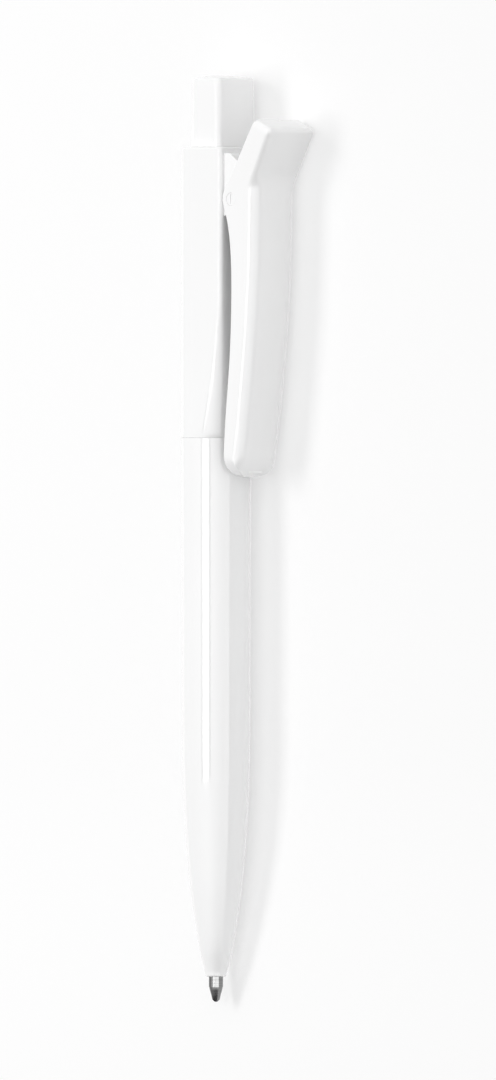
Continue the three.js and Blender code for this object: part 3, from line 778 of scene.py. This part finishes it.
def clip_spring():
    low = SPRING_START + SPRING_WIRE / 2
    high = SPRING_START + SPRING_LENGTH - SPRING_WIRE / 2
    return wound_wire("clip_spring_wound", place(POCKET_ALONG, low, 0), place(POCKET_ALONG, high, 0),
                      Vector((1, 0, 0)), SPRING_RADIUS, SPRING_WIRE, SPRING_TURNS)


def return_spring():
    return wound_wire("return_spring_wound", place(RETURN_START + RETURN_WIRE / 2, 0, 0),
                      place(RETURN_END - RETURN_WIRE / 2, 0, 0), Vector((0, 0, 1)),
                      RETURN_RADIUS, RETURN_WIRE, RETURN_TURNS)


def stretch_between(piece, replaced):
    """Gives a spring its finish and smooth shading, fixes its shape in place in the frame, and hides the
    part it replaces.
    """
    piece.data.materials.append(spring_wire)
    for face in piece.data.polygons:
        face.use_smooth = True
    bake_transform(piece)
    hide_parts(replaced)


# Nodes

NOISE_RANGE = (0.3, 0.7)
COLOUR_RANGE = (0.35, 0.65)


def new_material(name):
    material = bpy.data.materials.new(name)
    material.use_nodes = True
    nodes = material.node_tree.nodes
    return material, nodes, material.node_tree.links, nodes["Principled BSDF"]


def grey(level):
    return (level, level, level)


def feed(links, socket, value):
    """Links a socket to another one, or sets its constant value."""
    if isinstance(value, bpy.types.NodeSocket):
        links.new(value, socket)
    else:
        socket.default_value = value


def calculated(nodes, links, operation, *values):
    """The result of a calculation on sockets and constants."""
    node = nodes.new("ShaderNodeMath")
    node.operation = operation
    for socket, value in zip(node.inputs, values):
        feed(links, socket, value)
    return node.outputs["Value"]


def mapped(nodes, links, value, source, target, interpolation="LINEAR"):
    """Moves a value from one range, as [start, end], into another."""
    node = nodes.new("ShaderNodeMapRange")
    node.interpolation_type = interpolation
    names = ("Value", "From Min", "From Max", "To Min", "To Max")
    for name, number in zip(names, (value, *source, *target)):
        feed(links, node.inputs[name], number)
    return node.outputs["Result"]


def mixed_shaders(nodes, links, share, first, second):
    """The first shader at share 0, and the second one at share 1."""
    node = nodes.new("ShaderNodeMixShader")
    for socket, value in zip(node.inputs, (share, first, second)):
        links.new(value, socket)
    return node.outputs["Shader"]


def noise(nodes, links, scale, detail=3.0, stretch=(1, 1, 1)):
    """Noise in the object's own coordinates, with its scale in features per metre."""
    where = nodes.new("ShaderNodeTexCoord")
    mapping = nodes.new("ShaderNodeMapping")
    mapping.inputs["Scale"].default_value = stretch
    texture = nodes.new("ShaderNodeTexNoise")
    texture.inputs["Scale"].default_value = scale
    texture.inputs["Detail"].default_value = detail
    links.new(where.outputs["Object"], mapping.inputs["Vector"])
    links.new(mapping.outputs["Vector"], texture.inputs["Vector"])
    return texture.outputs["Fac"]


def mixed_colours(nodes, links, value, low, high):
    """A colour from low to high, by a noise value."""
    ramp = nodes.new("ShaderNodeValToRGB")
    for element, position, colour in zip(ramp.color_ramp.elements, COLOUR_RANGE, (low, high)):
        element.position = position
        element.color = (*colour, 1)
    links.new(value, ramp.inputs["Fac"])
    return ramp.outputs["Color"]


def patterned(nodes, links, shader, colour_noise, gloss_noise, low, high, roughness):
    """Varies a shader's colour from low to high and its roughness within a range, each by a noise."""
    links.new(mixed_colours(nodes, links, colour_noise, low, high), shader.inputs["Base Color"])
    links.new(mapped(nodes, links, gloss_noise, NOISE_RANGE, roughness), shader.inputs["Roughness"])


def bumps(nodes, links, shader, value, height):
    bump = nodes.new("ShaderNodeBump")
    bump.inputs["Strength"].default_value = 1.0
    bump.inputs["Distance"].default_value = height
    links.new(value, bump.inputs["Height"])
    links.new(bump.outputs["Normal"], shader.inputs["Normal"])


# Materials


def moulded_plastic(name, low, high, roughness, wave, wave_height):
    """Moulded plastic: faint flow marks in colour and gloss, and a very slight waviness."""
    material, nodes, links, shader = new_material(name)
    flow = noise(nodes, links, scale=90.0, detail=4.0, stretch=(0.25, 1, 1))
    fine = noise(nodes, links, scale=900.0, detail=2.0)
    patterned(nodes, links, shader, flow, fine, low, high, roughness)
    bumps(nodes, links, shader, noise(nodes, links, scale=wave, detail=1.0), wave_height)
    shader.inputs["IOR"].default_value = 1.5
    return material


def turned_metal(name, low, high, roughness):
    """Metal turned on a lathe, with fine marks round the pen's axis."""
    material, nodes, links, shader = new_material(name)
    marks = noise(nodes, links, scale=4000.0, detail=2.0, stretch=(1, 0.02, 0.02))
    patterned(nodes, links, shader, marks, marks, low, high, roughness)
    bumps(nodes, links, shader, marks, MICRON)
    shader.inputs["Metallic"].default_value = 1.0
    return material


def ink_material():
    material, nodes, links, shader = new_material("ink")
    flow = noise(nodes, links, scale=300.0)
    patterned(nodes, links, shader, flow, flow, low=(0.012, 0.02, 0.07), high=(0.02, 0.035, 0.12),
              roughness=(0.25, 0.4))
    return material


# Stage, light and camera

VIEW_TURN = math.radians(45.6)
PIXELS_PER_MM = 6.39
IMAGE_SIZE = (496, 1080)
AXIS_PIXEL = 216
TIP_PIXEL = 1002
CAMERA_DISTANCE = 3.5
CAMERA_NEAR = 0.05
CAMERA_FAR = 20
SENSOR = 36.0
WORLD_STRENGTH = 0.65
WORLD_SLOPE = 0.4
WORLD_DARK = 0.03
WORLD_DIM = 0.3
WORLD_DARK_AT = -0.5
WORLD_LIGHT_AT = -0.22
GLOSS_GAIN = 4.0
GLOSS_START = 0.9
GLOSS_FULL = -0.42
FLOOR_HALF = 3.0
FLOOR_STEPS = 40
FLOOR_GLOW = 0.543
FLOOR_SHADE = 0.42
FLOOR_NEAR = 0.1
FLOOR_FAR = 0.35
FLOOR_RISE = 3.8
FLOOR_RISE_START = -22.0
FLOOR_RISE_END = 38.0
STRIP_DISTANCE = 0.6
STRIP_HALF_ANGLE = math.radians(11.5)
STRIP_TURN = math.radians(-9.7)
STRIP_LENGTH = 0.2
STRIP_ALONG = 87.0
STRIP_POWER = 2.3
STRIP_RIM = 0.06
KEY_DIRECTION = (0.15, 0.5, 0.85)
KEY_DISTANCE = 0.8
KEY_ALONG = 80.0
KEY_SIZE = (0.5, 0.2)
KEY_POWER = 8.6

image_right = Vector((0, -math.sin(VIEW_TURN), -math.cos(VIEW_TURN)))
image_up = Vector((1, 0, 0))
towards_camera = image_right.cross(image_up)


def camera():
    data = bpy.data.cameras.new("camera")
    data.sensor_width = SENSOR
    data.lens = SENSOR * CAMERA_DISTANCE / (IMAGE_SIZE[1] / PIXELS_PER_MM * MM)
    data.clip_start = CAMERA_NEAR
    data.clip_end = CAMERA_FAR
    aside = (IMAGE_SIZE[0] / 2 - AXIS_PIXEL) / PIXELS_PER_MM
    target = place((TIP_PIXEL - IMAGE_SIZE[1] / 2) / PIXELS_PER_MM, 0, 0) + image_right * aside * MM
    item = bpy.data.objects.new("camera", data)
    turn = Matrix((image_right, image_up, towards_camera)).transposed().to_4x4()
    item.matrix_world = Matrix.Translation(target + towards_camera * CAMERA_DISTANCE) @ turn
    bpy.context.scene.collection.objects.link(item)
    bpy.context.scene.camera = item


def area_light(name, direction, distance, size, radiance, target):
    """A soft light at a distance from a point, whose radiance is its brightness to the eye."""
    data = bpy.data.lights.new(name, "AREA")
    data.shape = "RECTANGLE"
    data.size, data.size_y = size
    data.energy = radiance * math.pi * size[0] * size[1]
    item = bpy.data.objects.new(name, data)
    back = direction.normalized()
    right = Vector((1, 0, 0)) - back * back.x
    right.normalize()
    turn = Matrix((right, back.cross(right), back)).transposed().to_4x4()
    item.matrix_world = Matrix.Translation(target + back * distance) @ turn
    item.visible_camera = False
    bpy.context.scene.collection.objects.link(item)
    return item


def strip_frame(strip, size, width):
    """Dark bars along the strip light's long sides, which only show as thin lines in the gloss."""
    half_length, half_width = size[0] / 2, size[1] / 2
    points = []
    for sign in (-1, 1):
        for y in (sign * half_width, sign * (half_width + width)):
            points += [Vector((-half_length, y, 0)), Vector((half_length, y, 0))]
    piece = new_object("strip_frame", points, [(0, 1, 3, 2), (4, 6, 7, 5)])
    piece.matrix_world = strip.matrix_world.copy()
    material, nodes, links, shader = new_material("strip_frame")
    cloth = noise(nodes, links, scale=60.0)
    links.new(mixed_colours(nodes, links, cloth, grey(0.01), grey(0.02)), shader.inputs["Base Color"])
    piece.data.materials.append(material)
    piece.visible_camera = False
    piece.visible_diffuse = False
    piece.visible_transmission = False
    piece.visible_shadow = False


def studio_world():
    """A white studio, a little brighter on the clip's side and dark beyond the pen's tip.

    In gloss the clip's side is far brighter, like a large white screen. To the eye it is plain white.
    """
    world = bpy.data.worlds.new("studio")
    world.use_nodes = True
    nodes, links = world.node_tree.nodes, world.node_tree.links
    where = nodes.new("ShaderNodeTexCoord")
    split = nodes.new("ShaderNodeSeparateXYZ")
    links.new(where.outputs["Generated"], split.inputs["Vector"])
    along, across = split.outputs["X"], split.outputs["Y"]
    rays = nodes.new("ShaderNodeLightPath")
    in_gloss = rays.outputs["Is Glossy Ray"]
    dark = calculated(nodes, links, "MULTIPLY_ADD", in_gloss, WORLD_DARK - WORLD_DIM, WORLD_DIM)
    level = mapped(nodes, links, along, (WORLD_DARK_AT, WORLD_LIGHT_AT), (dark, WORLD_STRENGTH),
                   "SMOOTHSTEP")
    gain = mapped(nodes, links, across, (0.0, -1.0), (1.0, 1.0 + WORLD_SLOPE))
    screen = mapped(nodes, links, across, (GLOSS_START, GLOSS_FULL), (0.0, GLOSS_GAIN), "SMOOTHSTEP")
    gain = calculated(nodes, links, "MULTIPLY_ADD", screen, in_gloss, gain)
    strength = calculated(nodes, links, "MULTIPLY", gain, level)
    strength = calculated(nodes, links, "MAXIMUM", strength, rays.outputs["Is Camera Ray"])
    background = nodes["Background"]
    background.inputs["Color"].default_value = (*grey(1), 1)
    links.new(strength, background.inputs["Strength"])
    bpy.context.scene.world = world


def lights():
    size = (STRIP_LENGTH, 2 * STRIP_DISTANCE * math.tan(STRIP_HALF_ANGLE))
    toward = Vector((0, math.sin(STRIP_TURN), math.cos(STRIP_TURN)))
    strip = area_light("strip", toward, STRIP_DISTANCE, size, STRIP_POWER, place(STRIP_ALONG, 0, 0))
    strip_frame(strip, size, STRIP_RIM)
    key = area_light("key", Vector(KEY_DIRECTION), KEY_DISTANCE, KEY_SIZE, KEY_POWER,
                     place(KEY_ALONG, 0, 0))
    key.visible_glossy = False
    studio_world()


def distance_share(nodes, links):
    """From 0 on the table round the pen to 1 far from it, in the table's own coordinates."""
    where = nodes.new("ShaderNodeTexCoord")
    apart = nodes.new("ShaderNodeVectorMath")
    apart.operation = "DISTANCE"
    apart.inputs[1].default_value = place(BUTTON_TOP / 2, 0, 0)
    links.new(where.outputs["Object"], apart.inputs[0])
    return mapped(nodes, links, apart.outputs["Value"], (FLOOR_NEAR, FLOOR_FAR), (0.0, 1.0), "SMOOTHSTEP")


def floor_material():
    """White table: to the eye its white is part glow, so that the shadow stays light.

    In reflections and far from the pen it is the plain white of the backdrop.
    """
    material, nodes, links, table = new_material("floor")
    grain = noise(nodes, links, scale=400.0)
    patterned(nodes, links, table, grain, grain, low=grey(0.95), high=grey(0.96), roughness=(0.85, 0.95))
    table.inputs["Specular IOR Level"].default_value = 0.0
    lit = nodes.new("ShaderNodeBsdfDiffuse")
    lit.inputs["Color"].default_value = (*grey(FLOOR_SHADE), 1)
    glow = nodes.new("ShaderNodeEmission")
    glow.inputs["Strength"].default_value = FLOOR_GLOW
    near = nodes.new("ShaderNodeAddShader")
    links.new(lit.outputs["BSDF"], near.inputs[0])
    links.new(glow.outputs["Emission"], near.inputs[1])
    backdrop = nodes.new("ShaderNodeEmission")
    rays = nodes.new("ShaderNodeLightPath")
    in_gloss, to_eye = rays.outputs["Is Glossy Ray"], rays.outputs["Is Camera Ray"]
    plain = calculated(nodes, links, "MAXIMUM", distance_share(nodes, links), in_gloss)
    bright = mixed_shaders(nodes, links, plain, near.outputs["Shader"], backdrop.outputs["Emission"])
    straight = calculated(nodes, links, "MAXIMUM", to_eye, in_gloss)
    surface = mixed_shaders(nodes, links, straight, table.outputs["BSDF"], bright)
    links.new(surface, nodes["Material Output"].inputs["Surface"])
    return material


def floor():
    """White card that lies flat and curls up from under the pen's nose to a little beyond its point."""
    rows = [(-FLOOR_HALF, FLOOR_RISE)]
    for i in range(FLOOR_STEPS + 1):
        share = i / FLOOR_STEPS
        along = FLOOR_RISE_START + (FLOOR_RISE_END - FLOOR_RISE_START) * share
        rows.append((place(along, 0, 0).x, FLOOR_RISE * (1 - smooth(share))))
    rows.append((FLOOR_HALF, 0.0))
    points = [(x, y, rise * MM) for x, rise in rows for y in (-FLOOR_HALF, FLOOR_HALF)]
    faces = [(2 * i, 2 * i + 2, 2 * i + 3, 2 * i + 1) for i in range(len(rows) - 1)]
    piece = new_object("floor", points, faces)
    for face in piece.data.polygons:
        face.use_smooth = True
    piece.data.materials.append(floor_material())


bpy.context.scene.view_settings.view_transform = "Standard"
camera()
lights()
floor()

white = moulded_plastic(
    "white_gloss", low=grey(0.92), high=grey(0.935), roughness=(0.03, 0.05),
    wave=160.0, wave_height=0.6 * MICRON)
natural = moulded_plastic(
    "natural_plastic", low=(0.7, 0.7, 0.66), high=(0.76, 0.76, 0.72), roughness=(0.35, 0.5),
    wave=500.0, wave_height=3 * MICRON)
clear = moulded_plastic(
    "tube_plastic", low=(0.66, 0.69, 0.71), high=(0.72, 0.75, 0.77), roughness=(0.15, 0.25),
    wave=300.0, wave_height=2 * MICRON)
nickel = turned_metal("nickel", low=grey(0.2), high=grey(0.26), roughness=(0.08, 0.16))
ball_metal = turned_metal(
    "ball_metal", low=(0.13, 0.13, 0.14), high=(0.2, 0.2, 0.21), roughness=(0.2, 0.3))
spring_wire = turned_metal(
    "spring_wire", low=(0.4, 0.4, 0.41), high=(0.5, 0.5, 0.51), roughness=(0.2, 0.35))
ink = ink_material()

finish_piece(lower_barrel(), "barrel", white, ["lower_barrel"])
finish_piece(upper_barrel(), "barrel", white, ["upper_barrel"])
finish_piece(push_button(), "button", white, ["push_button"])
finish_piece(clip_arm(), "clip", white, ["clip"])
finish_piece(clip_pin(), "barrel", white, ["clip_pin"])
finish_piece(turned("refill_tip_turned", TIP_PROFILE), "refill", nickel, ["refill_tip"])
finish_piece(writing_ball(), "ball", ball_metal, ["writing_ball"])
stretch_between(clip_spring(),
                "clip_spring")
stretch_between(return_spring(),
                "return_spring")

CAD_LOOKS = {
    "cam_sleeve": natural,
    "thrust_tube": natural,
    "rotor_cam": natural,
    "tip_holder": natural,
    "refill_plug": natural,
    "refill_tube": clear,
    "ink_column": ink,
}
for node, look in CAD_LOOKS.items():
    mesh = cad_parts[node].data
    mesh.materials.clear()
    mesh.materials.append(look)
